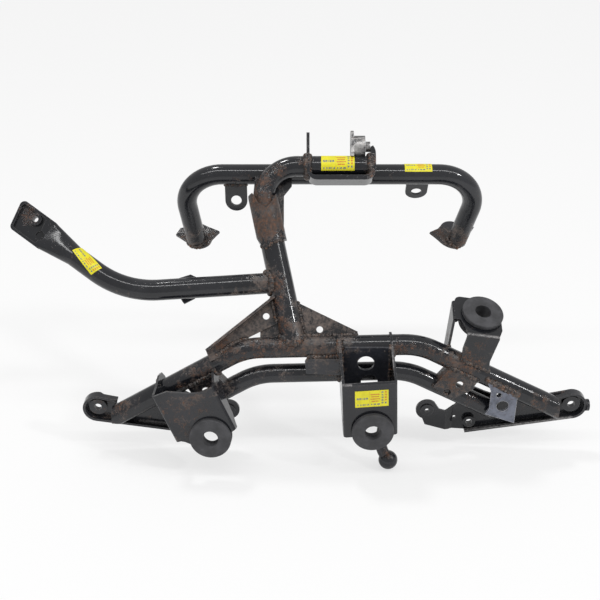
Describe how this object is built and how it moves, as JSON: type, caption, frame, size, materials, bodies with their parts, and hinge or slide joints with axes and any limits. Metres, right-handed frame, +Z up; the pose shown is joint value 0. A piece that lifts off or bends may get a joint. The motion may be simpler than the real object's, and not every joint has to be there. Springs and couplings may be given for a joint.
{
  "type": "motorcycle fairing stay",
  "caption": "Welded tube stay for a motorcycle fairing, with a leaning mast, a wide hoop, a side arm, winged lower tubes, folded brackets and rubber grommets.",
  "frame": {"origin": "middle of the centre grommet's bore", "axes": "+X to the viewer's right along the stay's width, +Y away from the viewer, +Z up"},
  "size_m": [0.5344, 0.2148, 0.2784],
  "materials": {
    "painted_steel": "worn glossy black paint with rust",
    "bare_steel": "bare dull steel",
    "rubber": "matte dark grey rubber"
  },
  "bodies": {
    "root": {"arm_end_nut": "painted_steel", "arm_tab": "painted_steel", "ball_stud": "painted_steel", "centre_back_plate": "painted_steel", "centre_bracket": "painted_steel", "centre_grommet": "rubber", "clip_plate": "bare_steel", "cross_tube": "painted_steel", "head_bracket": "painted_steel", "head_bush": "bare_steel", "head_ear": "bare_steel", "hoop_gusset": "painted_steel", "hoop_tube": "painted_steel", "left_grommet": "rubber", "left_grommet_bracket": "painted_steel", "left_hoop_foot": "painted_steel", "left_hoop_tab": "painted_steel", "left_mast_gusset": "painted_steel", "left_side_nut": "painted_steel", "left_side_plate": "painted_steel", "left_tie_gusset": "painted_steel", "left_tip_boss": "painted_steel", "lower_tube": "painted_steel", "mast_collar": "painted_steel", "mast_rear_plate": "painted_steel", "mast_tube": "painted_steel", "right_grommet": "rubber", "right_grommet_bracket": "painted_steel", "right_hoop_foot": "painted_steel", "right_hoop_tab": "painted_steel", "right_mast_gusset": "painted_steel", "right_side_nut": "painted_steel", "right_side_plate": "painted_steel", "right_tie_gusset": "painted_steel", "right_tip_boss": "painted_steel", "side_arm_tube": "painted_steel", "tip_stud": "painted_steel", "top_arm_tube": "painted_steel"}
  },
  "joints": []
}
